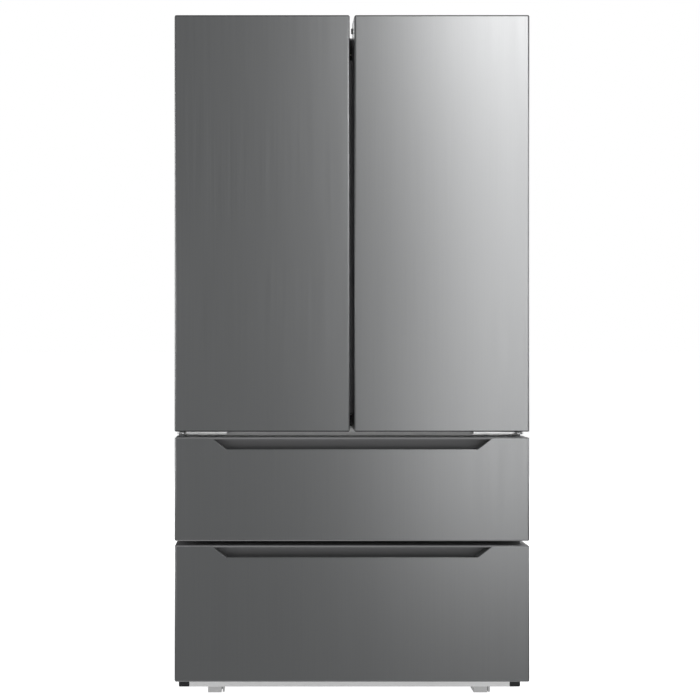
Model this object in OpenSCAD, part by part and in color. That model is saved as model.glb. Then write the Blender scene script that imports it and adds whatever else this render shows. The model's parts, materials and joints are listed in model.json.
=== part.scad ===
/* [Overall size] */
// Width across the doors
width = 914; // [760:1:1100]
// Depth from the door fronts to the back panel
depth = 747; // [680:1:900]
// Height of the door tops above the floor
height = 1771; // [1600:1:2200]
// How far the doors rise above the case
door_rise = 36; // [30:1:45]
// How much narrower the case is than the doors
case_inset = 10; // [6:1:16]

/* [Fronts] */
// Height of the lower drawer front's bottom edge
kick_h = 57; // [50:1:80]
// Height of the lower drawer front
lower_front_h = 350; // [320:1:420]
// Height of the upper drawer front
upper_front_h = 266; // [240:1:320]
// Gap between the two drawer fronts
drawer_gap = 12; // [8:1:16]
// Gap between the upper drawer front and the doors
hinge_gap = 15; // [14:1:24]
// Gap between the two doors
door_gap = 11.4; // [6:0.1:16]
// Thickness of the doors and drawer fronts
front_t = 64; // [56:1:80]
// Radius of the fronts' corners and long edges
edge_r = 5; // [3:0.5:8]
// Thickness of the plastic end caps that show above and below the doors
cap_t = 2.5; // [2:0.5:5]

/* [Handle pockets] */
// Width of a handle pocket along the top edge
pocket_w = 729; // [500:1:740]
// Width of a handle pocket along its lower lip
pocket_low_w = 648; // [440:1:700]
// Height of the notch in the steel
pocket_h = 31; // [24:1:40]
// How far fingers reach back into the pocket
pocket_reach = 36; // [28:1:42]

/* [Walls] */
// Steel sheet of the case and the fronts
sheet_t = 1.2; // [0.8:0.1:2]
// Plastic liner
liner_t = 2; // [1.5:0.5:4]
// Insulated side wall, steel to liner
side_wall = 47; // [40:1:60]
// Insulated roof
roof_wall = 45; // [38:1:60]
// Insulated back wall
back_wall = 70; // [60:1:90]
// Insulated floor of the freezer
floor_wall = 64; // [56:1:80]
// Door seal, from the door to the case
seal_t = 9.5; // [8:0.5:12]
// Width of a door seal
seal_w = 20; // [16:1:24]

/* [Door hinges] */
// Hinge pin radius
pin_r = 6; // [4:0.5:8]
// Hinge axis, in from the door's outer side
hinge_in = 15; // [13:1:18]
// Hinge axis, forward of the door's back
hinge_fore = 16; // [14:1:20]
// Steel plate of the hinge brackets
bracket_t = 5; // [3:0.5:6]
// Width of the top hinge arm
arm_w = 28; // [22:1:30]

/* [Inside] */
// Height of the crisper drawers
crisper_h = 175; // [140:1:200]
// Space between the shelves and the back of the cavity
shelf_back = 33; // [25:1:60]
// Space between the shelves and the door bins
shelf_clear = 49.5; // [30:0.5:80]
// How far the crisper fronts stand back from the shelf above
crisper_in = 42.5; // [30:0.5:70]
// Shelf glass
glass_t = 4; // [3:0.5:6]
// Wall of the clear plastic drawers and door bins
bin_t = 3; // [2:0.5:4]
// How far the door bins stand out from the door liner
bin_d = 98; // [80:1:120]
// Space behind the upper freezer basket
upper_behind = 22.5; // [12:0.5:60]
// Space behind the lower freezer basket
lower_behind = 13.5; // [10:0.5:60]
// Thickness of one member of a drawer slide
slide_t = 7; // [5:0.5:9]
// Height of a drawer slide
slide_h = 36; // [28:1:44]

/* [Base] */
// Height of the gap under the case
leg_h = 19; // [15:1:24]
// Height of the machine compartment
machine_h = 215; // [190:1:235]
// Depth of the machine compartment
machine_d = 240; // [220:1:250]
// Rear roller radius
roller_r = 22; // [18:1:26]
// Rear roller width
roller_w = 20; // [14:1:26]
// Roller axle radius
axle_r = 4; // [3:0.5:6]
// Width of a front foot
foot_w = 36; // [28:1:44]

/* [Fits] */
// Clearance between parts that pass each other
gap = 0.4; // [0.3:0.1:0.8]
// Radial clearance of a pin in its hole
pin_fit = 0.05; // [0.02:0.01:0.1]

/* [Hidden] */

// Planes from front to back: door face, door back, case face, case back
front_y = -depth / 2;
door_back_y = front_y + front_t;
case_y = door_back_y + seal_t;
back_y = depth / 2;
panel_t = 2.5;
case_back_y = back_y - panel_t;
// Heights from the floor up
case_top = height - door_rise;
lower_z = kick_h;
upper_z = lower_z + lower_front_h + drawer_gap;
door_z = upper_z + upper_front_h + hinge_gap;
lower_top = lower_z + lower_front_h;
upper_top = upper_z + upper_front_h;
// Half widths
half_w = width / 2;
half_case = half_w - case_inset / 2;
half_in = half_case - side_wall;
door_w = (width - door_gap) / 2;
// Fridge and freezer cavities
rail_low = door_z - 60;
fridge_z = door_z + 40;
fridge_top = case_top - roof_wall;
freezer_z = leg_h + sheet_t + floor_wall;
freezer_top = rail_low;
cavity_back = case_back_y - back_wall;
machine_y = case_back_y - machine_d;
machine_top = leg_h + machine_h;
step_y = machine_y - 25;
step_z = machine_top + 25;
divider_z = lower_top + drawer_gap / 2;
divider_h = 62;
// Hinge axis of the doors
hinge_x = half_w - hinge_in;
hinge_y = door_back_y - hinge_fore;
seal_out = hinge_x - 2;
dyke_side = 28;
dyke_deep = 47;
dyke_y = door_back_y + dyke_deep;
dyke_out = half_in - 7;
// Steel at the front of the case: side flanges, rail over the freezer, sill
flange = 22;
rail_d = 40;
sill_t = 5.5;
sill_d = 7;
// The folding mullion between the doors
mullion_w = 80;
mullion_t = 20;
mullion_axis_x = -mullion_w / 2 - 6;
mullion_axis_y = case_y + mullion_t / 2;
mullion_low = fridge_z + 4;
mullion_top = fridge_top - 14;
dyke_in = mullion_w / 2 + 22;
big = 4 * width;

// A box between two corners
module span(low, high) {
    translate(low) cube(high - low);
}

// A box given by its middle in X, a half width, and ranges in Y and Z
module wide(half, y0, y1, z0, z1) {
    span([-half, y0, z0], [half, y1, z1]);
}

module both_sides() {
    children();
    mirror([1, 0, 0]) children();
}

// A cylinder along Y or X
module rod_y(r, y0, y1) {
    translate([0, y0, 0]) rotate([-90, 0, 0]) cylinder(r = r, h = y1 - y0, $fn = 48);
}

module rod_x(r, x0, x1) {
    translate([x0, 0, 0]) rotate([0, 90, 0]) cylinder(r = r, h = x1 - x0, $fn = 48);
}

// An upright cylinder from the local origin
module rod_z(r, h) {
    cylinder(r = r, h = h, $fn = 48);
}

// A rectangle with rounded corners, made of true arcs
module round_rect(w, h, r) {
    translate([r, 0]) square([w - 2 * r, h]);
    translate([0, r]) square([w, h - 2 * r]);
    for (x = [r, w - r], y = [r, h - r]) translate([x, y]) circle(r = r, $fn = 48);
}

// A rectangular ring in the XZ plane, extruded back from y0
module ring_y(x0, x1, z0, z1, band, y0, t) {
    translate([0, y0 + t, 0]) rotate([90, 0, 0]) linear_extrude(t) difference() {
        translate([x0, z0]) square([x1 - x0, z1 - z0]);
        translate([x0 + band, z0 + band]) square([x1 - x0 - 2 * band, z1 - z0 - 2 * band]);
    }
}

// Outline of a front seen from above: its two front corners are rounded
module front_plan(w, t, r) {
    translate([r, 0]) square([w - 2 * r, t]);
    translate([0, r]) square([w, t - r]);
    for (x = [r, w - r]) translate([x, r]) circle(r = r, $fn = 48);
}

// Everything between the rounded outline of a front's face, seen from in front
module face_outline(x0, w, z0, h) {
    translate([x0, big / 2, z0]) rotate([90, 0, 0]) linear_extrude(big) round_rect(w, h, edge_r);
}

// Steel front with turned-back sides, open at the back and between its end caps
module steel_front(x0, w, z0, h) {
    intersection() {
        difference() {
            translate([x0, front_y, z0 + cap_t]) linear_extrude(h - 2 * cap_t)
                front_plan(w, front_t, edge_r);
            translate([x0 + sheet_t, front_y + sheet_t, z0]) linear_extrude(h)
                front_plan(w - 2 * sheet_t, front_t, edge_r - sheet_t);
        }
        face_outline(x0, w, z0, h);
    }
}

// Thin end cap that closes a front at height z
module end_cap(x0, w, z0, h, z) {
    intersection() {
        translate([x0, front_y, z]) linear_extrude(cap_t) front_plan(w, front_t, edge_r);
        face_outline(x0, w, z0, h);
    }
}

// Door seal: a flat base and a softer magnetic lip that stops short of the case
module seal(x0, x1, z0, z1) {
    base_t = 3;
    lip_in = 3;
    color("#3a3a3a") {
        ring_y(x0, x1, z0, z1, seal_w, door_back_y, base_t);
        ring_y(x0 + lip_in, x1 - lip_in, z0 + lip_in, z1 - lip_in, seal_w - 2 * lip_in,
            door_back_y + base_t, seal_t - base_t - gap);
    }
}

// ---- Cabinet ----

module outer_case() {
    low = leg_h + sheet_t;
    color("silver") {
        // Roof
        wide(half_case, case_y, case_back_y, case_top - sheet_t, case_top);
        both_sides() {
            // Side
            span([half_case - sheet_t, case_y, low], [half_case, case_back_y, case_top - sheet_t]);
            // Front flange beside the openings
            span([half_case - flange, case_y, lower_z + 4],
                [half_case - sheet_t, case_y + sheet_t, case_top - sheet_t]);
        }
        // Front flange above the doors' opening
        wide(half_case - flange, case_y, case_y + sheet_t, fridge_top + liner_t,
            case_top - sheet_t);
    }
}

module back_panel() {
    rib_w = 260;
    color("gainsboro") {
        wide(half_case, case_back_y, case_back_y + sheet_t, machine_top, case_top);
        // Pressed stiffening fields stand out of the sheet
        for (z = [machine_top + 70, machine_top + 780], x = [-rib_w - 40, 40])
            span([x, case_back_y + sheet_t, z], [x + rib_w, back_y, z + 640]);
    }
}

// Bridge over a roller, with two ears and the axle between them
module roller_bridge(slot_x, slot_y) {
    ear_t = 3;
    top = 2 * roller_r + 4;
    for (x = [-roller_w / 2 - ear_t - 1, roller_w / 2 + 1])
        span([x, -14, roller_r - 8], [x + ear_t, 14, top + 2]);
    for (y = [-slot_y - 6, slot_y])
        span([-slot_x - 6, y, leg_h], [slot_x + 6, y + 6, top + 2]);
    span([-slot_x - 6, -slot_y - 6, top], [slot_x + 6, slot_y + 6, top + 4]);
    translate([0, 0, roller_r]) rod_x(axle_r, -roller_w / 2 - ear_t, roller_w / 2 + ear_t);
}

roller_x = half_case - 70;
roller_y = case_back_y - 60;
foot_x = half_case - 99;
foot_y = case_y + 30;
stud_r = 6;

module base_pan() {
    slot_x = roller_w / 2 + 5;
    slot_y = roller_r + 5;
    color("dimgray") {
        difference() {
            union() {
                wide(half_case, case_y + 6, case_back_y, leg_h, leg_h + sheet_t);
                // Welded nuts for the feet
                for (x = [-foot_x, foot_x]) translate([x, foot_y, leg_h])
                    cylinder(r = stud_r + 5, h = 22, $fn = 6);
            }
            for (x = [-foot_x, foot_x]) translate([x, foot_y, leg_h - 1])
                cylinder(r = stud_r + pin_fit, h = 60, $fn = 48);
            for (x = [-roller_x, roller_x])
                span([x - slot_x, roller_y - slot_y, leg_h - 1], [x + slot_x, roller_y + slot_y, leg_h + 9]);
        }
        for (x = [-roller_x, roller_x]) translate([x, roller_y, 0]) roller_bridge(slot_x, slot_y);
    }
}

module cabinet_foam() {
    in = sheet_t;
    color("khaki") difference() {
        wide(half_case - in, case_y + in, case_back_y, leg_h + in, case_top - in);
        // Fridge cavity with its liner
        wide(half_in + liner_t, case_y - 1, cavity_back + liner_t, fridge_z - liner_t, fridge_top + liner_t);
        // Freezer cavity with its liner, stepped over the machine compartment
        wide(half_in + liner_t, case_y - 1, cavity_back + liner_t, step_z - liner_t, freezer_top + liner_t);
        wide(half_in + liner_t, case_y - 1, step_y + liner_t, freezer_z - liner_t, step_z);
        // Machine compartment
        wide(half_case, machine_y, back_y, leg_h, machine_top);
        // Steel bars at the front
        wide(half_case, case_y - 1, case_y + rail_d + gap, rail_low - gap, fridge_z + gap);
        wide(half_case, case_y - 1, case_y + sill_d, leg_h, freezer_z + liner_t);
        // Welded nuts of the feet
        for (x = [-foot_x, foot_x]) translate([x, foot_y, 0]) cylinder(r = stud_r + 6, h = leg_h + 80);
    }
}

ledge_w = 9;

module fridge_liner() {
    ledge_z = [fridge_z + crisper_h + 8, fridge_z + crisper_h + 262, fridge_z + crisper_h + 512];
    color("white") {
        difference() {
            wide(half_in + liner_t, case_y + sheet_t, cavity_back + liner_t, fridge_z - liner_t,
                fridge_top + liner_t);
            wide(half_in, case_y - 1, cavity_back, fridge_z, fridge_top);
            wide(half_case, case_y, case_y + rail_d + gap, rail_low, fridge_z + gap);
        }
        // Ledges that carry the shelves
        for (z = ledge_z) both_sides()
            span([half_in - ledge_w, shelf_front - 43, z - 12], [half_in, shelf_front + shelf_d + 2, z]);
        // Rim that covers the steel flange's edge
        both_sides() span([half_in, case_y, fridge_z + gap],
            [half_case - flange, case_y + sheet_t, fridge_top]);
    }
}

module freezer_liner() {
    color("white") {
        difference() {
            union() {
                wide(half_in + liner_t, case_y + sheet_t, cavity_back + liner_t, step_z - liner_t,
                    freezer_top + liner_t);
                wide(half_in + liner_t, case_y + sheet_t, step_y + liner_t, freezer_z - liner_t, step_z);
            }
            wide(half_in, case_y - 1, cavity_back, step_z, freezer_top);
            wide(half_in, case_y - 1, step_y, freezer_z, step_z + 1);
            wide(half_case, case_y, case_y + rail_d + gap, rail_low - gap, fridge_z);
            wide(half_case, case_y, case_y + sill_d, leg_h, freezer_z);
        }
        // Rims that cover the steel flange's edge
        both_sides() {
            span([half_in, case_y, freezer_z],
                [half_case - flange, case_y + sheet_t, divider_z - divider_h / 2]);
            span([half_in, case_y, divider_z + divider_h / 2],
                [half_case - flange, case_y + sheet_t, rail_low - gap]);
        }
    }
}

module mid_rail() {
    wall = 1.5;
    color("lightgray") difference() {
        wide(half_case - flange, case_y, case_y + rail_d, rail_low, fridge_z);
        wide(half_case - flange - 8, case_y + wall, case_y + rail_d - wall, rail_low + wall, fridge_z - wall);
    }
}

module freezer_divider() {
    d = 24;
    wall = 2;
    low = divider_z - divider_h / 2;
    color("dimgray") difference() {
        wide(half_in, case_y, case_y + d, low, low + divider_h);
        wide(half_in - 8, case_y + wall, case_y + d - wall, low + wall, low + divider_h - wall);
    }
}

block_w = 28;

module front_sill() {
    color("lightgray") {
        wide(half_case - block_w, case_y, case_y + 1.5, leg_h, freezer_z);
        wide(half_case - block_w, case_y + 1.5, case_y + sill_t, leg_h, leg_h + 1.5);
    }
}

module corner_blocks() {
    color("black") both_sides() {
        span([half_case - block_w, case_y, leg_h], [half_case - sheet_t, case_y + sill_t, lower_z + 4]);
        span([half_case - block_w, case_y - 2, divider_z - drawer_gap / 2 + 0.5],
            [half_case - sheet_t, case_y, divider_z + drawer_gap / 2 - 0.5]);
    }
}

module one_top_hinge() {
    arm_out = hinge_x + min(arm_w / 2, half_case - hinge_x - 4);
    plate_in = 90;
    plate_y = [case_y + 30, case_y + 90];
    plate_z = case_top + 6;
    plate_top = plate_z + bracket_t;
    // Arm with its round end over the door's pin
    translate([hinge_x, hinge_y, plate_z]) cylinder(r = arm_w / 2, h = bracket_t, $fn = 64);
    span([hinge_x - arm_w / 2, hinge_y, plate_z], [arm_out, plate_y[1], plate_top]);
    // Plate on its raised foot
    span([hinge_x - plate_in, plate_y[0], case_top], [arm_out, plate_y[1], plate_top]);
    // Pin
    translate([hinge_x, hinge_y, case_top - lug_h + 2])
        cylinder(r = pin_r, h = plate_top - case_top + lug_h - 2, $fn = 64);
    // Screw heads
    for (x = [hinge_x - 72, hinge_x - 36, hinge_x])
        translate([x, case_y + 60, plate_top]) cylinder(r = 6, h = 4, $fn = 6);
}

module top_hinges() {
    color("gray") both_sides() one_top_hinge();
}

cover_h = 32;

module hinge_covers() {
    low_y = case_y + 4;
    color("dimgray") both_sides() difference() {
        translate([hinge_x - 100, low_y, case_top]) linear_extrude(cover_h)
            round_rect(half_case - hinge_x + 100, 110, 6);
        translate([hinge_x - 97, low_y - 10, case_top - 1]) linear_extrude(cover_h - 2)
            square([half_case - hinge_x + 94.5, 117]);
    }
}

module one_mid_hinge() {
    low = door_z - hinge_gap / 2 - bracket_t / 2;
    tail_x = half_case - 128;
    out_x = half_case - 4;
    flange_t = 3;
    // Plate under the door, with a round end over the axis
    translate([hinge_x, hinge_y, low]) cylinder(r = pin_r + 5, h = bracket_t, $fn = 64);
    span([tail_x, case_y - 20, low], [out_x, case_y, low + bracket_t]);
    span([hinge_x - pin_r - 5, hinge_y, low], [out_x, case_y, low + bracket_t]);
    // Flange against the rail
    span([tail_x, case_y - flange_t, upper_top + 1.5], [out_x, case_y, door_z - gap]);
    // Pin and the cam washer under the door
    translate([hinge_x, hinge_y, low]) cylinder(r = pin_r, h = hinge_gap / 2 + lug_h - 6, $fn = 64);
    translate([hinge_x, hinge_y, low + bracket_t]) cylinder(r = pin_r + 4, h = 3, $fn = 64);
    // Screw heads
    for (x = [tail_x + 14, tail_x + 48, tail_x + 68])
        translate([x, 0, low - 5]) rod_y(3.5, case_y - flange_t - 3, case_y - flange_t);
}

module mid_hinges() {
    color("silver") both_sides() one_mid_hinge();
}

duct_w = 240;
duct_t = 16;

module air_duct() {
    duct_y = cavity_back - duct_t;
    low = fridge_z + crisper_h + 20;
    color("whitesmoke") difference() {
        wide(duct_w / 2, duct_y, cavity_back, low, fridge_top);
        wide(duct_w / 2 - 4, duct_y + 3, cavity_back - 1, low + 4, fridge_top - 4);
        // Cold air slots
        for (z = [0 : 3], x = [-70, 0, 70])
            span([x - 24, duct_y - 1, fridge_top - 90 - z * 180],
                [x + 24, duct_y + 4, fridge_top - 82 - z * 180]);
    }
}

module ceiling_lamp() {
    color("ivory") {
        wide(150, case_y + 170, case_y + 250, fridge_top - 3, fridge_top);
        wide(140, case_y + 180, case_y + 240, fridge_top - 9, fridge_top - 3);
    }
}

guide_low = fridge_top - 12;
guide_pin_r = 3.5;
guide_reach = 30;

module mullion_guide() {
    front = case_y - 3;
    color("black") {
        difference() {
            span([mullion_axis_x - 8, case_y, guide_low], [6, case_y + 58, fridge_top]);
            // Curved way of the mullion's pin, open at the front
            intersection() {
                translate([mullion_axis_x, mullion_axis_y, guide_low - 1]) difference() {
                    cylinder(r = guide_reach + guide_pin_r + 2, h = 9, $fn = 96);
                    translate([0, 0, -1]) cylinder(r = guide_reach - guide_pin_r - 2, h = 12, $fn = 96);
                }
                span([mullion_axis_x - 4 - guide_pin_r, mullion_axis_y - 4, guide_low - 2],
                    [mullion_axis_x + 60, mullion_axis_y + 60, guide_low + 20]);
            }
            span([mullion_axis_x + guide_reach - guide_pin_r - 2, case_y - 5, guide_low - 1],
                [mullion_axis_x + guide_reach + guide_pin_r + 2, mullion_axis_y, guide_low + 8]);
        }
        // Dark plates behind the doors' gap, above and below the mullion
        wide(14, front, case_y, fridge_top + liner_t, case_top - 6);
        wide(14, front, case_y, door_z + 9, fridge_z - 2);
    }
}

shelf_front = door_back_y + bin_d + shelf_clear;
shelf_d = cavity_back - shelf_back - shelf_front;
shelf_levels = [fridge_z + crisper_h + 270, fridge_z + crisper_h + 520];
crisper_shelf_z = fridge_z + crisper_h + 8;
frame_w = 14;
frame_h = 12;

// One framed pane from x0 to x1, its frame's underside at z
module pane(x0, x1, z) {
    span([x0 + frame_w / 2, shelf_front + frame_w / 2, z + frame_h - glass_t],
        [x1 - frame_w / 2, shelf_front + shelf_d - frame_w / 2, z + frame_h]);
}

module pane_frame(x0, x1, z) {
    difference() {
        span([x0, shelf_front, z], [x1, shelf_front + shelf_d, z + frame_h]);
        span([x0 + frame_w, shelf_front + frame_w, z - 1],
            [x1 - frame_w, shelf_front + shelf_d - frame_w, z + frame_h + 1]);
        pane(x0, x1, z);
    }
}

module each_pane() {
    x1 = half_in - gap;
    $z = crisper_shelf_z;
    $x0 = -x1;
    $x1 = x1;
    children();
    for (level = shelf_levels) {
        $z = level;
        $x0 = -x1;
        $x1 = -2;
        children();
    }
    for (level = shelf_levels) {
        $z = level;
        $x0 = 2;
        $x1 = x1;
        children();
    }
}

module shelf_glass() {
    color("lightcyan") each_pane() pane($x0, $x1, $z);
}

module shelf_frames() {
    color("gainsboro") each_pane() pane_frame($x0, $x1, $z);
}

// ---- Cooling system ----

fan_z = freezer_top - 75;
fan_r = 46;
fan_y = cavity_back - 66;
cover_y = cavity_back - 76;
motor_r = 20;
shaft_r = 3;
evap_half = half_in - 115;
condenser_fan_r = 62;
machine_mid_y = machine_y + 120;
machine_mid_z = leg_h + 110;
// From right to left: compressor, fan, condenser
compressor_x = roller_x - 132;
condenser_fan_x = compressor_x - 210;
condenser_x = [-roller_x + 112, condenser_fan_x - 100];

module evaporator() {
    tubes = 6;
    pitch = 42;
    fins = floor(2 * evap_half / pitch);
    tube_y = cavity_back - 31;
    row_z = [for (n = [0 : tubes - 1]) step_z + 45 + n * 28];
    color("lightsteelblue") {
        // Fins
        for (n = [0 : fins]) span([(n - fins / 2) * pitch, cavity_back - 50, step_z + 30],
            [(n - fins / 2) * pitch + 1, cavity_back - 12, step_z + 200]);
        // Tube rows and their return bends
        for (z = row_z) translate([0, tube_y, z]) rod_x(5, -evap_half, evap_half);
        for (n = [0 : tubes - 2]) translate([(n % 2 == 0 ? 1 : -1) * evap_half, tube_y, row_z[n]])
            rod_z(5, row_z[n + 1] - row_z[n]);
    }
}

module evaporator_cover() {
    color("whitesmoke") difference() {
        union() {
            wide(half_in - 4, cover_y, cover_y + 3, step_z + 1, freezer_top - 1);
            // Ring around the fan
            translate([0, 0, fan_z]) rod_y(fan_r + 8, cover_y - 6, cover_y);
        }
        translate([0, 0, fan_z]) rod_y(fan_r + 3, cover_y - 10, cover_y + 10);
        for (x = [-half_in + 105, -half_in + 205, half_in - 205, half_in - 105], n = [0 : 3])
            span([x - 35, cover_y - 1, step_z + 40 + n * 16], [x + 35, cover_y + 4, step_z + 48 + n * 16]);
    }
}

module fan_motors() {
    color("dimgray") {
        // Freezer fan motor, held by three legs behind the cover
        translate([0, 0, fan_z]) {
            rod_y(motor_r, fan_y + 22, fan_y + 50);
            rod_y(shaft_r, fan_y - 12, fan_y + 22);
            for (a = [90, 210, 330]) rotate([0, a, 0])
                span([-4, fan_y + 26, 0], [4, fan_y + 32, fan_r + 16]);
            for (a = [90, 210, 330]) rotate([0, a, 0])
                span([-4, cover_y + 3, fan_r + 8], [4, fan_y + 32, fan_r + 16]);
        }
        // Condenser fan motor on its bracket
        translate([0, machine_mid_y, machine_mid_z]) {
            rod_x(motor_r + 2, condenser_fan_x + 16, condenser_fan_x + 46);
            rod_x(shaft_r, condenser_fan_x - 12, condenser_fan_x + 16);
            span([condenser_fan_x + 26, -16, leg_h + sheet_t - machine_mid_z], [condenser_fan_x + 32, 16, 0]);
        }
    }
}

// A fan with its hub on the Z axis, blades pitched
module fan(r) {
    hub_r = 12;
    blades = 5;
    color("lightgray") difference() {
        union() {
            translate([0, 0, -8]) cylinder(r = hub_r, h = 20, $fn = 48);
            for (n = [0 : blades - 1]) rotate([0, 0, n * 360 / blades]) translate([hub_r - 3, 0, 2])
                rotate([28, 0, 0]) translate([0, -11, -1]) cube([r - hub_r + 1, 22, 2]);
        }
        translate([0, 0, -10]) cylinder(r = shaft_r + pin_fit, h = 30, $fn = 48);
    }
}

module evaporator_fan() {
    translate([0, fan_y, fan_z]) rotate([-90, 0, 0]) fan(fan_r - 3);
}

module condenser_fan() {
    translate([condenser_fan_x, machine_mid_y, machine_mid_z]) rotate([0, 90, 0]) fan(condenser_fan_r);
}

module compressor() {
    x = compressor_x;
    r = 72;
    floor_z = leg_h + sheet_t;
    color("#222222") {
        // Pot
        translate([x, machine_mid_y, floor_z + 22]) rotate_extrude($fn = 96) {
            square([r, 90]);
            square([r - 14, 104]);
            translate([r - 14, 90]) intersection() {
                circle(r = 14, $fn = 48);
                square(20);
            }
            translate([0, 40]) square([r + 4, 4]);
        }
        // Mounting feet on rubber grommets
        translate([x, machine_mid_y, floor_z + 14]) linear_extrude(8) square([190, 110], center = true);
        for (dx = [-82, 82], dy = [-42, 42]) translate([x + dx, machine_mid_y + dy, floor_z])
            cylinder(r = 12, h = 14, $fn = 48);
        // Terminal box
        span([x + r - 8, machine_mid_y - 30, floor_z + 50], [x + r + 32, machine_mid_y + 30, floor_z + 100]);
        // Suction and discharge stubs
        for (dy = [-30, 30]) translate([x - 20, machine_mid_y + dy, floor_z + 100]) rod_z(4, 60);
    }
}

module condenser() {
    rows = 5;
    pitch = 10;
    color("#333333") {
        for (x = [condenser_x[0] : pitch : condenser_x[1]])
            span([x, machine_mid_y - 70, machine_mid_z - 45], [x + 1, machine_mid_y + 70, machine_mid_z + 60]);
        for (n = [0 : rows - 1], y = [-45, 0, 45])
            translate([0, machine_mid_y + y, machine_mid_z - 32 + n * 20])
                rod_x(3.5, condenser_x[0] - 10, condenser_x[1] + 1);
        // End plates
        for (x = [condenser_x[0] - 12, condenser_x[1]])
            span([x, machine_mid_y - 75, machine_mid_z - 48], [x + 2, machine_mid_y + 75, machine_mid_z + 64]);
    }
}

module drain_pan() {
    z = leg_h + sheet_t;
    wall = 3;
    x = [condenser_x[0] - 20, condenser_x[1] + 15];
    y = [machine_mid_y - 85, machine_mid_y + 85];
    color("#444444") difference() {
        span([x[0], y[0], z], [x[1], y[1], machine_mid_z - 50]);
        span([x[0] + wall, y[0] + wall, z + wall], [x[1] - wall, y[1] - wall, machine_mid_z]);
    }
}

inlet_x = -half_case + 92;
inlet_z = leg_h + 71;
inlet_half = [16, 12];

module machine_cover() {
    slot_w = 110;
    color("#555555") difference() {
        wide(half_case - 2, case_back_y - 1, case_back_y + 1.5, leg_h + 6, machine_top - gap);
        // Louvre slots in front of the condenser and the compressor
        for (n = [0 : 8], x = [inlet_x + 70, inlet_x + 230, compressor_x - 190, compressor_x - 30])
            span([x, case_back_y - 2, leg_h + 34 + n * 16], [x + slot_w, back_y + 1, leg_h + 40 + n * 16]);
        // Hole of the power inlet
        span([inlet_x - inlet_half[0] - 1, case_back_y - 2, inlet_z - inlet_half[1] - 1],
            [inlet_x + inlet_half[0] + 1, back_y + 1, inlet_z + inlet_half[1] + 1]);
    }
}

module power_inlet() {
    color("black") difference() {
        span([inlet_x - inlet_half[0], case_back_y - 24, inlet_z - inlet_half[1]],
            [inlet_x + inlet_half[0], back_y, inlet_z + inlet_half[1]]);
        translate([inlet_x, 0, inlet_z]) rod_y(6, back_y - 16, back_y + 1);
    }
}

// ---- Base ----

module roller() {
    color("#222222") translate([0, 0, roller_r]) difference() {
        rod_x(roller_r, -roller_w / 2, roller_w / 2);
        rod_x(axle_r + pin_fit, -roller_w, roller_w);
    }
}

module roller_left() {
    translate([-roller_x, roller_y, 0]) roller();
}

module roller_right() {
    translate([roller_x, roller_y, 0]) roller();
}

// A levelling foot: a stud through a broad block with a key tab beside it
module foot() {
    tab_t = 5;
    tab_gap = 3;
    total = foot_w + tab_gap + tab_t;
    top = leg_h - 2;
    color("lightgray") {
        translate([-total / 2, 0, 0]) {
            span([0, -20, 0], [foot_w, 20, top]);
            span([foot_w, -4, 4], [foot_w + tab_gap, 4, top - 3]);
            span([foot_w + tab_gap, -16, 0], [total, 10, top]);
        }
        cylinder(r = stud_r, h = leg_h + 40, $fn = 48);
    }
}

module foot_left() {
    translate([-foot_x, foot_y, 0]) foot();
}

module foot_right() {
    translate([foot_x, foot_y, 0]) foot();
}

// ---- Doors: drawn for the right side, mirrored for the left ----

door_x = door_gap / 2;
door_h = height - door_z;
notch_x = hinge_x - 31;
notch_y = hinge_y - 30;
lug_h = 40;
liner_sheet = 2.5;
plug_h = 18;
bumper_t = 3;

// Space at the door's top back corner that the hinge arm sweeps
module hinge_notch() {
    span([notch_x, notch_y, case_top], [half_w + 10, door_back_y + 10, height + 10]);
}

module door_skin() {
    color("silver") difference() {
        steel_front(door_x, door_w, door_z, door_h);
        hinge_notch();
    }
}

module door_caps() {
    in_x = door_x + sheet_t;
    out_x = half_w - sheet_t;
    in_y = front_y + sheet_t;
    out_y = door_back_y - liner_sheet;
    color("#2b2b2b") {
        difference() {
            union() {
                end_cap(door_x, door_w, door_z, door_h, height - cap_t);
                translate([in_x, in_y, height - plug_h]) linear_extrude(plug_h - cap_t)
                    front_plan(out_x - in_x, out_y - in_y, edge_r - sheet_t);
                span([notch_x - 3, notch_y - 3, case_top - lug_h], [out_x, out_y, height - cap_t]);
            }
            hinge_notch();
            // Hollow of the plug
            span([in_x + 2, in_y + 6, height - plug_h - 1], [notch_x - 6, out_y - 2, height - cap_t - 1]);
            translate([hinge_x, hinge_y, case_top - lug_h - 1])
                cylinder(r = pin_r + pin_fit, h = lug_h + 2, $fn = 64);
        }
        difference() {
            union() {
                end_cap(door_x, door_w, door_z, door_h, door_z);
                translate([in_x, in_y, door_z + cap_t]) linear_extrude(plug_h - cap_t)
                    front_plan(out_x - in_x, out_y - in_y, edge_r - sheet_t);
                span([notch_x - 3, notch_y - 3, door_z + cap_t], [out_x, out_y, door_z + lug_h]);
            }
            span([in_x + 2, in_y + 6, door_z + cap_t + 1], [notch_x - 6, out_y - 2, door_z + plug_h + 1]);
            translate([hinge_x, hinge_y, door_z - 1]) cylinder(r = pin_r + pin_fit, h = lug_h + 2, $fn = 64);
        }
    }
}

module door_foam() {
    in_y = front_y + sheet_t;
    out_y = door_back_y - liner_sheet;
    color("khaki") difference() {
        translate([door_x + sheet_t, in_y, door_z + plug_h]) linear_extrude(door_h - 2 * plug_h)
            front_plan(door_w - 2 * sheet_t, out_y - in_y, edge_r - sheet_t);
        for (z = [door_z, case_top - lug_h])
            span([notch_x - 3, notch_y - 3, z], [half_w, door_back_y, z + lug_h]);
        span([notch_x - 3, notch_y - 3, case_top - 1], [half_w, door_back_y, height]);
    }
}

dyke_low = fridge_z + 12;
dyke_top = fridge_top - 18;

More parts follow.
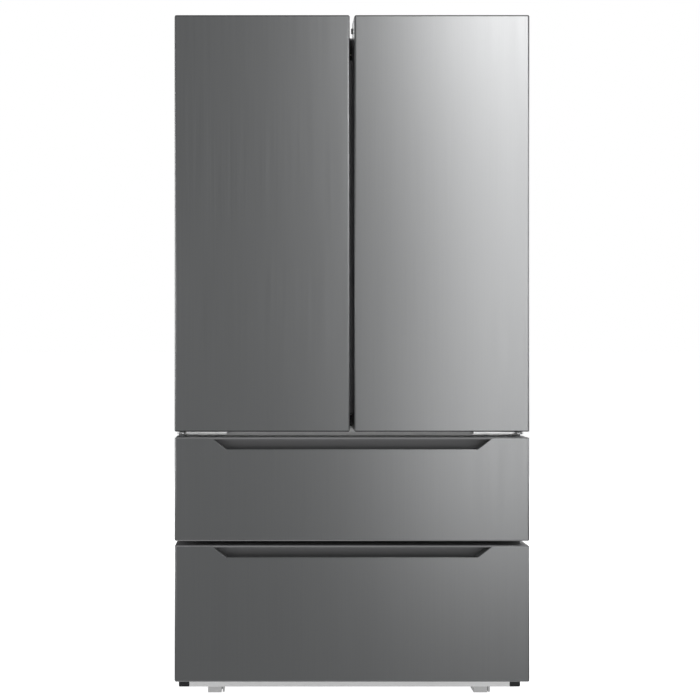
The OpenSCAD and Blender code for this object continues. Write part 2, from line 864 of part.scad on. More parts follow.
module door_liner() {
    draft = 8;
    color("white") {
        difference() {
            span([door_x + sheet_t, door_back_y - liner_sheet, door_z + cap_t],
                [half_w - sheet_t, door_back_y, height - cap_t]);
            hinge_notch();
        }
        // Raised dyke that carries the bins
        ring_y(dyke_in, dyke_out, dyke_low, dyke_top, dyke_side, door_back_y, dyke_deep - draft);
        ring_y(dyke_in + 3, dyke_out - 3, dyke_low + 3, dyke_top - 3, dyke_side - 6,
            dyke_y - draft, draft);
    }
}

module door_seal() {
    seal(mullion_w / 2 - seal_w - 2, seal_out, door_z + 8, case_top - 13);
}

bin_levels = [dyke_low + dyke_side + 6, dyke_low + 320, dyke_low + 600];
bin_h = 92;

module door_bins() {
    x0 = dyke_in + dyke_side;
    x1 = dyke_out - dyke_side;
    color("aliceblue") for (z = bin_levels) difference() {
        union() {
            span([x0, door_back_y, z], [x1, door_back_y + bin_d, z + bin_h]);
            // Rolled rim along the guard
            translate([0, door_back_y + bin_d - bin_t / 2, z + bin_h]) rod_x(bin_t, x0, x1);
        }
        span([x0 + bin_t, door_back_y + bin_t, z + bin_t],
            [x1 - bin_t, door_back_y + bin_d - bin_t, z + bin_h + 10]);
        // The back wall is low
        span([x0 + bin_t, door_back_y - 1, z + 30], [x1 - bin_t, door_back_y + bin_t + 1, z + bin_h + 1]);
    }
}

module left() {
    mirror([1, 0, 0]) children();
}

ear_low = mullion_low + 22;
ear_high = mullion_top - 30;
ear_t = 7.5;
ear_r = 5;
knuckle_pin_r = 3;
knuckle_gap = gap;
knuckle_h = 26;

// Two ears with pins that carry the folding mullion
module mullion_ears() {
    // Each ear's underside and where its pin starts
    ears = [[ear_low, ear_low], [ear_high, ear_high - knuckle_h]];
    color("white") for (e = ears) {
        span([-dyke_in, mullion_axis_y - ear_r, e[0]],
            [mullion_axis_x, mullion_axis_y + ear_r, e[0] + ear_t]);
        translate([mullion_axis_x, mullion_axis_y, e[0]]) cylinder(r = ear_r, h = ear_t, $fn = 48);
        translate([mullion_axis_x, mullion_axis_y, e[1]])
            cylinder(r = knuckle_pin_r, h = knuckle_h + ear_t, $fn = 48);
    }
}

module left_door_skin() { left() door_skin(); }
module left_door_foam() { left() door_foam(); }
module left_door_gasket() { left() door_seal(); }
module left_door_caps() { left() door_caps(); }
module left_door_bins() { left() door_bins(); }
module left_door_liner() {
    left() door_liner();
    mullion_ears();
}
module right_door_skin() { door_skin(); }
module right_door_foam() { door_foam(); }
module right_door_gasket() { door_seal(); }
module right_door_liner() { door_liner(); }
module right_door_bins() { door_bins(); }
module right_door_caps() {
    door_caps();
    // Small bumper at the top of the door's free edge
    color("black") span([door_x - bumper_t, door_back_y - 14, height - 30],
        [door_x, door_back_y - 6, height - 18]);
}

module mullion() {
    low = ear_low + ear_t + knuckle_gap;
    high = ear_high - knuckle_gap;
    color("#444444") {
        difference() {
            union() {
                translate([0, 0, mullion_low]) linear_extrude(mullion_top - mullion_low)
                    translate([-mullion_w / 2, case_y + gap]) round_rect(mullion_w, mullion_t - 2 * gap, 3);
                // Knuckle along the hinge edge
                translate([mullion_axis_x, mullion_axis_y, low]) cylinder(r = 5.5, h = high - low, $fn = 48);
                span([mullion_axis_x, mullion_axis_y - 4, low], [-mullion_w / 2 + 1, mullion_axis_y + 4, high]);
            }
            for (z = [low - 1, high - knuckle_h]) translate([mullion_axis_x, mullion_axis_y, z])
                cylinder(r = knuckle_pin_r + pin_fit, h = knuckle_h + 1, $fn = 48);
        }
        translate([mullion_axis_x + guide_reach, mullion_axis_y, mullion_top - 1])
            cylinder(r = guide_pin_r, h = 7, $fn = 48);
    }
}

// ---- Freezer drawers ----

panel_rise = 22;
basket_y = door_back_y + panel_rise;
basket_half = half_in - 2 * slide_t - 2 * gap;
upper_basket_d = cover_y - upper_behind - basket_y;
lower_basket_d = step_y - lower_behind - basket_y;
rail_y = case_y + 22;
upper_open = [divider_z + divider_h / 2, freezer_top];
lower_open = [freezer_z, divider_z - divider_h / 2];
upper_rail_z = upper_open[1] - 95;
lower_rail_z = lower_open[1] - 70;
pocket_back = front_y + sheet_t + pocket_reach;
pocket_roof = 2;

finger_h = 18;

// Opening of a handle pocket, a trapezoid under the drawer's top edge
module pocket_shape(top, y0, y1, roof) {
    translate([0, y1, 0]) rotate([90, 0, 0]) linear_extrude(y1 - y0) polygon([
        [-pocket_w / 2, top - roof], [pocket_w / 2, top - roof],
        [pocket_low_w / 2, top - pocket_h], [-pocket_low_w / 2, top - pocket_h]]);
}

// The moulding round a pocket
module pocket_body(top) {
    wide(pocket_w / 2 + 6, front_y + sheet_t, pocket_back + 4, top - pocket_h - finger_h - 4, top - cap_t);
}

module drawer_skin(z0, h) {
    color("silver") difference() {
        steel_front(-half_w, width, z0, h);
        pocket_shape(z0 + h, front_y - 1, front_y + sheet_t + 1, 0);
    }
}

module drawer_trim(z0, h) {
    top = z0 + h;
    color("#3c3c3c") {
        difference() {
            union() {
                end_cap(-half_w, width, z0, h, top - cap_t);
                pocket_body(top);
            }
            pocket_shape(top, front_y - 1, pocket_back, cap_t + pocket_roof);
            // Room for fingertips behind the steel lip
            wide(pocket_low_w / 2, front_y + sheet_t + 2, pocket_back,
                top - pocket_h - finger_h, top - pocket_h + 0.5);
        }
        end_cap(-half_w, width, z0, h, z0);
    }
}

module drawer_panel(z0, h, open) {
    in = sheet_t;
    rim = 8;
    color("white") difference() {
        union() {
            translate([-half_w + in, front_y + in, z0 + cap_t]) linear_extrude(h - 2 * cap_t)
                front_plan(width - 2 * in, front_t - in, edge_r - in);
            wide(half_in - 14, door_back_y, basket_y, open[0] + rim, open[1] - rim);
        }
        pocket_body(z0 + h);
    }
}

module drawer_seal(z0, h) {
    seal(-seal_out, seal_out, z0 + 3, z0 + h - 3);
}

module basket(z0, z1, d, rail_z) {
    color("whitesmoke") difference() {
        wide(basket_half, basket_y, basket_y + d, z0, z1);
        wide(basket_half - bin_t, basket_y + bin_t, basket_y + d - bin_t, z0 + bin_t, z1 + 1);
    }
    // Steel-clad runner on each side of the basket
    color("silver") both_sides()
        span([basket_half - bin_t - 4, basket_y + bin_t, rail_z - slide_h / 2 + 4],
            [basket_half - bin_t, basket_y + d - bin_t, rail_z + slide_h / 2 - 4]);
}

module slide_members(rail_z, d) {
    x = half_in - slide_t - gap;
    color("silver") both_sides()
        span([x - slide_t, rail_y, rail_z - slide_h / 2 + 5], [x, rail_y + d - 40, rail_z + slide_h / 2 - 5]);
}

module drawer_rails() {
    lip = [3, 4];
    // Each rail's underside and back end
    rails = [[upper_rail_z - slide_h / 2, rail_y + upper_basket_d - 30],
        [lower_rail_z - slide_h / 2, rail_y + lower_basket_d - 30]];
    color("silver") for (r = rails) both_sides() {
        span([half_in - slide_t, rail_y, r[0]], [half_in, r[1], r[0] + slide_h]);
        // Lips that guide the middle member
        for (z = [r[0], r[0] + slide_h - lip[1]])
            span([half_in - slide_t - lip[0], rail_y, z], [half_in - slide_t, r[1], z + lip[1]]);
    }
}

module upper_drawer_skin() { drawer_skin(upper_z, upper_front_h); }
module upper_drawer_panel() { drawer_panel(upper_z, upper_front_h, upper_open); }
module upper_drawer_trim() { drawer_trim(upper_z, upper_front_h); }
module upper_drawer_gasket() { drawer_seal(upper_z, upper_front_h); }
module upper_drawer_basket() {
    basket(upper_open[0] + 14, upper_open[1] - 35, upper_basket_d, upper_rail_z);
}
module upper_slides() { slide_members(upper_rail_z, upper_basket_d); }
module lower_drawer_skin() { drawer_skin(lower_z, lower_front_h); }
module lower_drawer_panel() { drawer_panel(lower_z, lower_front_h, lower_open); }
module lower_drawer_trim() { drawer_trim(lower_z, lower_front_h); }
module lower_drawer_gasket() { drawer_seal(lower_z, lower_front_h); }
module lower_drawer_basket() {
    basket(lower_open[0] + 14, lower_open[1] - 14, lower_basket_d, lower_rail_z);
}
module lower_slides() { slide_members(lower_rail_z, lower_basket_d); }

// ---- Crisper drawers ----

crisper_y = shelf_front + crisper_in;
crisper_d = cavity_back - 30 - crisper_y;
crisper_gap = 3;

// A clear drawer on the right side
module crisper() {
    x0 = crisper_gap;
    x1 = half_in - ledge_w - crisper_gap;
    z0 = fridge_z + 1;
    z1 = fridge_z + crisper_h;
    pull_h = 14;
    color("aliceblue") {
        difference() {
            span([x0, crisper_y, z0], [x1, crisper_y + crisper_d, z1]);
            span([x0 + bin_t, crisper_y + bin_t, z0 + bin_t],
                [x1 - bin_t, crisper_y + crisper_d - bin_t, z1 + 1]);
        }
        // Pull lip along the front's top edge
        span([x0 + 60, crisper_y - 14, z1 - 4], [x1 - 60, crisper_y, z1]);
        span([x0 + 60, crisper_y - 14, z1 - pull_h], [x1 - 60, crisper_y - 11, z1 - 4]);
    }
}

module crisper_left() { left() crisper(); }
module crisper_right() { crisper(); }

outer_case();
back_panel();
base_pan();
cabinet_foam();
fridge_liner();
freezer_liner();
mid_rail();
freezer_divider();
front_sill();
corner_blocks();
top_hinges();
hinge_covers();
mid_hinges();
air_duct();
ceiling_lamp();
mullion_guide();
shelf_glass();
shelf_frames();
evaporator();
evaporator_cover();
fan_motors();
compressor();
condenser();
drain_pan();
machine_cover();
power_inlet();
drawer_rails();
crisper_left();
crisper_right();
evaporator_fan();
condenser_fan();
roller_left();
roller_right();
foot_left();
foot_right();
left_door_skin();
left_door_foam();
left_door_liner();
left_door_gasket();
left_door_caps();
left_door_bins();
right_door_skin();
right_door_foam();
right_door_liner();
right_door_gasket();
right_door_caps();
right_door_bins();
mullion();
upper_drawer_skin();
upper_drawer_panel();
upper_drawer_trim();
upper_drawer_gasket();
upper_drawer_basket();
upper_slides();
lower_drawer_skin();
lower_drawer_panel();
lower_drawer_trim();
lower_drawer_gasket();
lower_drawer_basket();
lower_slides();
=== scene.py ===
"""A french door refrigerator in a plain studio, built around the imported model."""
import json
import math

import bmesh
import bpy
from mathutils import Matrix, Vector


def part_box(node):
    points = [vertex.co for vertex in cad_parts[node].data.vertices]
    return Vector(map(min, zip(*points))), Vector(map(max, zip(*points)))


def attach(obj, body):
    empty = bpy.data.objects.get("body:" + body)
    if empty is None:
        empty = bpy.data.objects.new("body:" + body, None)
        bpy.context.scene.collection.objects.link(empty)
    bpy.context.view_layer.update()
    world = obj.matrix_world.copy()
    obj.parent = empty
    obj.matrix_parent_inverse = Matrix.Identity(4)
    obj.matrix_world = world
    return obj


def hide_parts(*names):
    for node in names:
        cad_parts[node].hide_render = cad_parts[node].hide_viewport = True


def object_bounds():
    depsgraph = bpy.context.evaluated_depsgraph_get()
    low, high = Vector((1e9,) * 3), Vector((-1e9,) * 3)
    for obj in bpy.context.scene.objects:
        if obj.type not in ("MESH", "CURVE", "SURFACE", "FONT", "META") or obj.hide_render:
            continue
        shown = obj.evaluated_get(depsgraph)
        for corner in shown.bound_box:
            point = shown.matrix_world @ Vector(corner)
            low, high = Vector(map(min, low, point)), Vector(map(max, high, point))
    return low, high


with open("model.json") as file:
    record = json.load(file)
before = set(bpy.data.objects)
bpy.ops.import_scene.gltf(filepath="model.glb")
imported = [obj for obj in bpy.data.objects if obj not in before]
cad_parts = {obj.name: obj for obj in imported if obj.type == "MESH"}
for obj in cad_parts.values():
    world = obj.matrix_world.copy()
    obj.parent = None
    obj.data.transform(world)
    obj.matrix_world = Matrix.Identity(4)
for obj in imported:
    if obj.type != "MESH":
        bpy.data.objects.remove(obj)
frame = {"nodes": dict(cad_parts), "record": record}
cad_bounds = [list(corner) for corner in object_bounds()]

MM = 0.001
SCENE = bpy.context.scene

# ---- Camera, from the photograph's perspective ----

DOOR_FACE_Y = cad_bounds[0][1]
CAMERA_DISTANCE = 2.5
CAMERA_X = -0.234
CAMERA_Z = 0.910
LENS = 50.0
SENSOR = 36.0
# Centres the refrigerator in the frame as the photograph does
SHIFT_TRIM = -0.003


def make_camera():
    data = bpy.data.cameras.new("camera")
    data.lens = LENS
    data.sensor_width = SENSOR
    view_width = CAMERA_DISTANCE * SENSOR / LENS
    data.shift_x = -CAMERA_X / view_width + SHIFT_TRIM
    # Past the far corners of the floor
    data.clip_end = 700
    camera = bpy.data.objects.new("camera", data)
    camera.location = (CAMERA_X, DOOR_FACE_Y - CAMERA_DISTANCE, CAMERA_Z)
    camera.rotation_euler = (math.radians(90), 0, 0)
    SCENE.collection.objects.link(camera)
    SCENE.camera = camera


# ---- Light and floor ----

# Distance from the door faces to the soft boxes in front
KEY_DISTANCE = 3.23
# World light: what the camera sees, and what falls on the object
SEEN_STRENGTH = 1.0
LIT_STRENGTH = 0.132
LIT_COLOUR = (0.97, 0.99, 1.0)
FLOOR_HALF = 300
FLOOR_GLOW = 0.9


def area_light(name, place, target, size, power):
    data = bpy.data.lights.new(name, "AREA")
    data.shape = "RECTANGLE"
    data.size, data.size_y = size
    data.energy = power
    light = bpy.data.objects.new(name, data)
    light.location = place
    aim = Vector(target) - Vector(place)
    light.rotation_euler = aim.to_track_quat("-Z", "Y").to_euler()
    SCENE.collection.objects.link(light)
    return light


def make_studio():
    world = bpy.data.worlds.new("studio")
    world.use_nodes = True
    nodes, links = world.node_tree.nodes, world.node_tree.links
    nodes.clear()
    out = nodes.new("ShaderNodeOutputWorld")
    seen = nodes.new("ShaderNodeBackground")
    seen.inputs["Color"].default_value = (1, 1, 1, 1)
    seen.inputs["Strength"].default_value = SEEN_STRENGTH
    lit = nodes.new("ShaderNodeBackground")
    lit.inputs["Color"].default_value = (*LIT_COLOUR, 1)
    lit.inputs["Strength"].default_value = LIT_STRENGTH
    path = nodes.new("ShaderNodeLightPath")
    mix = nodes.new("ShaderNodeMixShader")
    links.new(path.outputs["Is Camera Ray"], mix.inputs["Fac"])
    links.new(lit.outputs[0], mix.inputs[1])
    links.new(seen.outputs[0], mix.inputs[2])
    links.new(mix.outputs[0], out.inputs["Surface"])
    SCENE.world = world
    # Soft boxes in front, to the right, give the doors' upright highlight
    front = DOOR_FACE_Y - KEY_DISTANCE
    area_light("key_high", (1.34, front, 3.5), (0, 0, 1), (1.0, 1.0), 13.5)
    area_light("key_middle", (1.38, front, 1.9), (0, 0, 1), (0.9, 2.2), 9.5)
    area_light("key_low", (1.2, front, 0.3), (0, 0, 1), (0.9, 1.0), 3.0)
    # Low on the left, for the drawers
    area_light("fill_low", (-2.4, front, 0.7), (0, 0, 0.7), (1.0, 1.2), 6.0)
    # A slim strip in the slot under the doors shows the rail and hinges behind it
    slot = (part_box("right_door_skin")[0][2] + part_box("upper_drawer_skin")[1][2]) / 2
    strip = area_light("slot_strip", (0, DOOR_FACE_Y + 0.008, slot), (0, 0, slot),
                       (0.88, 0.003), 0.045)
    strip.visible_camera = False
    # Beside, above and behind the case
    area_light("left_side", (-3.3, 0.3, 1.3), (0, 0.1, 1.0), (2.6, 2.8), 34)
    area_light("right_side", (3.3, 0.3, 1.3), (0, 0.1, 1.0), (2.6, 2.8), 34)
    area_light("roof", (0, 0.9, 3.6), (0, 0.3, 1.7), (2.4, 2.0), 36)
    area_light("rear", (0.7, 3.8, 2.0), (0, 0.3, 0.9), (2.4, 2.4), 60)


def make_floor():
    corners = [(x * FLOOR_HALF, y * FLOOR_HALF, 0) for x, y in ((-1, -1), (1, -1), (1, 1), (-1, 1))]
    mesh = bpy.data.meshes.new("floor")
    mesh.from_pydata(corners, [], [(0, 1, 2, 3)])
    floor = bpy.data.objects.new("floor", mesh)
    SCENE.collection.objects.link(floor)
    pale = Material("floor", (0.8, 0.8, 0.8), roughness=1.0, Emission_Strength=FLOOR_GLOW)
    pale.shader.inputs["Emission Color"].default_value = (1, 1, 1, 1)
    pale.shader.inputs["Specular IOR Level"].default_value = 0.0
    pale.vary(scale=0.7, amount=0.006)
    floor.visible_glossy = False
    mesh.materials.append(pale.made)


# ---- Materials ----


class Material:
    """A principled material whose colour, roughness and bump come from procedural nodes."""

    def __init__(self, name, colour, roughness=0.5, metallic=0.0, **sockets):
        self.made = bpy.data.materials.new(name)
        self.made.use_nodes = True
        self.nodes = self.made.node_tree.nodes
        self.links = self.made.node_tree.links
        self.shader = self.nodes["Principled BSDF"]
        self.colour = (*colour, 1.0)
        self.roughness = roughness
        self.height = None
        self.shader.inputs["Base Color"].default_value = self.colour
        self.shader.inputs["Roughness"].default_value = roughness
        self.shader.inputs["Metallic"].default_value = metallic
        for socket, value in sockets.items():
            self.shader.inputs[socket.replace("_", " ")].default_value = value

    def node(self, kind, **settings):
        made = self.nodes.new("ShaderNode" + kind)
        for name, value in settings.items():
            setattr(made, name, value)
        return made

    def place(self, stretch=(1, 1, 1)):
        coords = self.node("TexCoord")
        mapping = self.node("Mapping")
        mapping.inputs["Scale"].default_value = stretch
        self.links.new(coords.outputs["Object"], mapping.inputs["Vector"])
        return mapping.outputs["Vector"]

    def noise(self, scale, stretch=(1, 1, 1), detail=3.0):
        made = self.node("TexNoise")
        made.inputs["Scale"].default_value = scale
        made.inputs["Detail"].default_value = detail
        self.links.new(self.place(stretch), made.inputs["Vector"])
        return made.outputs["Fac"]

    def cells(self, scale, output="Distance"):
        made = self.node("TexVoronoi")
        made.inputs["Scale"].default_value = scale
        self.links.new(self.place(), made.inputs["Vector"])
        return made.outputs[output]

    def spread(self, value, low, high):
        """Maps a value from 0..1 to low..high."""
        made = self.node("MapRange")
        made.inputs["To Min"].default_value = low
        made.inputs["To Max"].default_value = high
        self.links.new(value, made.inputs["Value"])
        return made.outputs["Result"]

    def vary(self, scale=6.0, amount=0.05, source=None):
        """Colour varies by amount either way."""
        value = source or self.noise(scale)
        base = self.colour[:3]
        mix = self.node("MixRGB")
        mix.inputs["Color1"].default_value = [c * (1 - amount) for c in base] + [1]
        mix.inputs["Color2"].default_value = [min(c * (1 + amount), 1) for c in base] + [1]
        self.links.new(value, mix.inputs["Fac"])
        self.links.new(mix.outputs["Color"], self.shader.inputs["Base Color"])
        return self

    def rough(self, scale=20.0, amount=0.05, source=None):
        """Roughness varies by amount either way."""
        value = source or self.noise(scale)
        wanted = self.spread(value, self.roughness - amount, self.roughness + amount)
        self.links.new(wanted, self.shader.inputs["Roughness"])
        return self

    def bump(self, scale, depth, strength=0.3, stretch=(1, 1, 1), source=None):
        """Bump of depth in metres. Several bumps stack."""
        value = source or self.noise(scale, stretch)
        made = self.node("Bump")
        made.inputs["Strength"].default_value = strength
        made.inputs["Distance"].default_value = depth
        self.links.new(value, made.inputs["Height"])
        if self.height:
            self.links.new(self.height, made.inputs["Normal"])
        self.height = made.outputs["Normal"]
        self.links.new(self.height, self.shader.inputs["Normal"])
        return self


def brushed_steel(name, colour, roughness, grain=(260, 260, 2.5), anisotropic=0.35):
    """Steel or aluminium, its grain given by how finely the noise is stretched on each axis."""
    steel = Material(name, colour, roughness, 1.0,
                     Anisotropic=anisotropic, Anisotropic_Rotation=0.25)
    tangent = steel.node("Tangent", direction_type="RADIAL", axis="Z")
    steel.links.new(tangent.outputs[0], steel.shader.inputs["Tangent"])
    lines = steel.noise(1.0, grain, detail=4)
    steel.vary(amount=0.035, source=lines)
    steel.rough(amount=0.05, source=lines)
    steel.bump(1.0, 0.00004, 0.12, source=lines)
    steel.bump(1.4, 0.0012, 0.05, stretch=(1, 1, 0.35))
    return steel.made


def moulded(name, colour, roughness=0.5, grain=900, depth=0.00006, vary=0.04):
    plastic = Material(name, colour, roughness)
    plastic.vary(9, vary)
    plastic.rough(35, 0.06)
    plastic.bump(grain, depth, 0.35)
    return plastic.made


def painted(name, colour, roughness, metallic=0.0):
    paint = Material(name, colour, roughness, metallic, Coat_Weight=0.15, Coat_Roughness=0.25)
    paint.vary(4, 0.035)
    paint.rough(18, 0.05)
    paint.bump(420, 0.00008, 0.3)
    return paint.made


def galvanised(name, colour):
    zinc = Material(name, colour, 0.42, 0.85)
    spangle = zinc.cells(70, output="Color")
    grey = zinc.node("RGBToBW")
    zinc.links.new(spangle, grey.inputs[0])
    zinc.vary(amount=0.12, source=grey.outputs[0])
    zinc.rough(amount=0.1, source=grey.outputs[0])
    zinc.bump(40, 0.0001, 0.2)
    return zinc.made


def rubber(name, colour):
    made = Material(name, colour, 0.72)
    made.vary(12, 0.12)
    made.bump(700, 0.00008, 0.3)
    return made.made


def foam(name, colour):
    made = Material(name, colour, 0.85)
    made.vary(15, 0.1)
    made.bump(1.0, 0.0006, 0.5, source=made.cells(220))
    return made.made


def clear(name, colour, roughness=0.06, ior=1.49):
    made = Material(name, colour, roughness, Transmission_Weight=1.0, IOR=ior)
    made.rough(14, 0.03)
    made.bump(9, 0.0003, 0.06)
    return made.made


def lamp_lens(name, colour):
    made = Material(name, colour, 0.35, Emission_Strength=0.6)
    made.shader.inputs["Emission Color"].default_value = (*colour, 1)
    made.vary(60, 0.03)
    made.bump(1.0, 0.0002, 0.4, source=made.cells(400))
    return made.made


def make_materials():
    return {
        "brushed_stainless": brushed_steel("brushed_stainless", (0.60, 0.605, 0.61), 0.36),
        "case_paint": painted("case_paint", (0.30, 0.305, 0.31), 0.45),
        "galvanised_sheet": galvanised("galvanised_sheet", (0.55, 0.56, 0.57)),
        "bracket_steel": brushed_steel("bracket_steel", (0.58, 0.58, 0.58), 0.3,
                                       (90, 600, 600), 0.2),
        "foam": foam("foam", (0.8, 0.68, 0.38)),
        "liner_white": moulded("liner_white", (0.82, 0.83, 0.83), 0.22, 300, 0.00004, 0.015),
        "rail_grey": painted("rail_grey", (0.72, 0.72, 0.72), 0.42),
        "light_grey_plastic": moulded("light_grey_plastic", (0.5, 0.5, 0.5), 0.5),
        "pocket_plastic": moulded("pocket_plastic", (0.21, 0.21, 0.214), 0.5, vary=0.05),
        "dark_plastic": moulded("dark_plastic", (0.022, 0.022, 0.024), 0.48, vary=0.15),
        "mullion_grey": moulded("mullion_grey", (0.36, 0.36, 0.37), 0.45),
        "seal_rubber": rubber("seal_rubber", (0.10, 0.10, 0.105)),
        "clear_plastic": clear("clear_plastic", (0.93, 0.96, 0.98)),
        "basket_plastic": moulded("basket_plastic", (0.78, 0.8, 0.82), 0.3, 300, 0.00004, 0.02),
        "shelf_glass": clear("shelf_glass", (0.82, 0.93, 0.90), 0.02, 1.52),
        "frame_plastic": moulded("frame_plastic", (0.62, 0.63, 0.64), 0.32, 500, 0.00004),
        "lamp_lens": lamp_lens("lamp_lens", (0.95, 0.93, 0.88)),
        "aluminium": brushed_steel("aluminium", (0.78, 0.79, 0.8), 0.38, (500, 20, 20), 0.1),
        "black_steel": painted("black_steel", (0.02, 0.02, 0.021), 0.28),
        "fan_plastic": moulded("fan_plastic", (0.6, 0.6, 0.59), 0.42),
        "motor_grey": painted("motor_grey", (0.16, 0.16, 0.165), 0.45, 0.4),
        "roller_plastic": moulded("roller_plastic", (0.04, 0.04, 0.042), 0.4),
    }


MATERIALS = make_materials()


# Coils and foam bodies keep their sharp edges
NO_BEVEL = {"evaporator", "condenser", "cabinet_foam", "left_door_foam", "right_door_foam"}
WELD = 0.02 * MM
EDGE_ROUND = 0.6 * MM


def dress_nodes():
    """Every CAD node gets its slot's material, and rounded edges that catch the light."""
    slots = {part["node"]: part["material_slot"] for part in frame["record"]["subparts"]}
    for name, node in frame["nodes"].items():
        material = MATERIALS[slots[name]]
        node.data.materials.clear()
        node.data.materials.append(material)
        weld = node.modifiers.new("weld", "WELD")
        weld.merge_threshold = WELD
        if name not in NO_BEVEL:
            bevel = node.modifiers.new("edges", "BEVEL")
            bevel.width = EDGE_ROUND
            bevel.segments = 2
            bevel.limit_method = "ANGLE"
            bevel.angle_limit = math.radians(40)
            bevel.use_clamp_overlap = True


# ---- Mesh builders ----


def add_block(bm, low, high, bevel):
    """A box between two corners, its edges rounded by bevel."""
    low, high = Vector(low), Vector(high)
    size = high - low
    made = bmesh.ops.create_cube(bm, size=1.0)["verts"]
    for vert in made:
        vert.co = Vector([(low[i] + high[i]) / 2 + vert.co[i] * size[i] for i in range(3)])
    edges = list({edge for vert in made for edge in vert.link_edges})
    bmesh.ops.bevel(bm, geom=edges, offset=bevel, segments=2, affect="EDGES", profile=0.5)


def add_rings(bm, rings, closed=False):
    """Skins a row of rings of as many points each. An open row gets caps, a closed one joins up."""
    rows = [[bm.verts.new(point) for point in ring] for ring in rings]
    count = len(rows[0])
    pairs = list(zip(rows, rows[1:])) + ([(rows[-1], rows[0])] if closed else [])
    for row, after in pairs:
        for n in range(count):
            m = (n + 1) % count
            bm.faces.new((row[n], row[m], after[m], after[n]))
    if not closed:
        bm.faces.new(reversed(rows[0]))
        bm.faces.new(rows[-1])


def add_lathe(bm, profile, place, axis, steps):
    """Turns a profile of (radius, height) about the axis that starts at place."""
    turn = Vector((0, 0, 1)).rotation_difference(Vector(axis)).to_matrix()
    place = Vector(place)
    rings = []
    for radius, height in profile:
        angles = [2 * math.pi * n / steps for n in range(steps)]
        rings.append([place + turn @ Vector((radius * math.cos(a), radius * math.sin(a), height))
                      for a in angles])
    add_rings(bm, rings)


def rounded_path(points, radius):
    """A path whose inner corners are rounded by curves that start radius away from them."""
    steps = 6
    points = [Vector(p) for p in points]
    path = [points[0]]
    for before, corner, after in zip(points, points[1:], points[2:]):
        start = corner + (before - corner).normalized() * radius
        end = corner + (after - corner).normalized() * radius
        for n in range(steps + 1):
            t = n / steps
            path.append(start * (1 - t) ** 2 + corner * 2 * t * (1 - t) + end * t ** 2)
    path.append(points[-1])
    return path


def add_tube(bm, path, radius, sides=12):
    """A round tube along a path."""
    path = [Vector(p) for p in path]
    side = None
    rings = []
    for n, point in enumerate(path):
        ahead = (path[min(n + 1, len(path) - 1)] - path[max(n - 1, 0)]).normalized()
        if side is None:
            side = ahead.orthogonal().normalized()
        side = (side - ahead * side.dot(ahead)).normalized()
        up = ahead.cross(side)
        angles = [2 * math.pi * k / sides for k in range(sides)]
        rings.append([point + (side * math.cos(a) + up * math.sin(a)) * radius for a in angles])
    add_rings(bm, rings)


def add_frame(bm, low, high, profile):
    """A mitred frame round a rectangle in XZ. The profile is a closed loop of (inset, y)."""
    corners = [(low[0], low[2], 1, 1), (high[0], low[2], -1, 1),
               (high[0], high[2], -1, -1), (low[0], high[2], 1, -1)]
    rings = [[(x + inset * sx, y, z + inset * sz) for inset, y in profile]
             for x, z, sx, sz in corners]
    add_rings(bm, rings, closed=True)


SCREW_RADIUS = 4.2 * MM
# Height of a screw head, in radii
SCREW_RISE = 0.62


def add_screw(bm, place, axis, radius=SCREW_RADIUS):
    """A pan head with a socket in it."""
    height = radius * SCREW_RISE
    add_lathe(bm, [(radius, 0), (radius, height * 0.45), (radius * 0.86, height * 0.82),
                   (radius * 0.55, height), (radius * 0.42, height), (radius * 0.36, height * 0.35),
                   (radius * 0.05, height * 0.3)], place, axis, steps=18)


def front_of(node):
    """Y of a node's front."""
    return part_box(node)[0][1]


def make_piece(name, bm, slot, body, replaces=None):
    """Turns a mesh in the making into a named piece on a body."""
    bmesh.ops.recalc_face_normals(bm, faces=bm.faces)
    mesh = bpy.data.meshes.new(name)
    bm.to_mesh(mesh)
    bm.free()
    for face in mesh.polygons:
        face.use_smooth = True
    mesh.set_sharp_from_angle(angle=math.radians(35))
    piece = bpy.data.objects.new(name, mesh)
    SCENE.collection.objects.link(piece)
    mesh.materials.append(MATERIALS[slot])
    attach(piece, body)
    if replaces:
        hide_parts(replaces)


# ---- Detail pieces ----


def make_seals():
    """Bellows seals in place of the plain ones."""
    width = 20 * MM
    # One side of the bellows, as inset and rise in mm, drawn for a seal this deep
    outer = [(0, 0), (0, 1.8), (3.2, 2.9), (0.8, 4.1), (3.4, 5.3), (2.6, 8.4), (3.6, 9.0)]
    drawn_depth = 9.1
    for body in ("left_door", "right_door", "upper_drawer", "lower_drawer"):
        node = body + "_gasket"
        low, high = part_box(node)
        scale = (high[1] - low[1]) / drawn_depth
        half = [(inset * MM, low[1] + rise * scale) for inset, rise in outer]
        # The other side of the bellows mirrors the first
        profile = half + [(width - inset, y) for inset, y in reversed(half)]
        bm = bmesh.new()
        add_frame(bm, low, high, profile)
        make_piece(body + "_seal", bm, "seal_rubber", body, node)


# The notch of a handle pocket: half its width at the top and at the bottom, and its height
POCKET_WIDE = 729 / 2 * MM
POCKET_NARROW = 648 / 2 * MM
POCKET_DEEP = 31 * MM


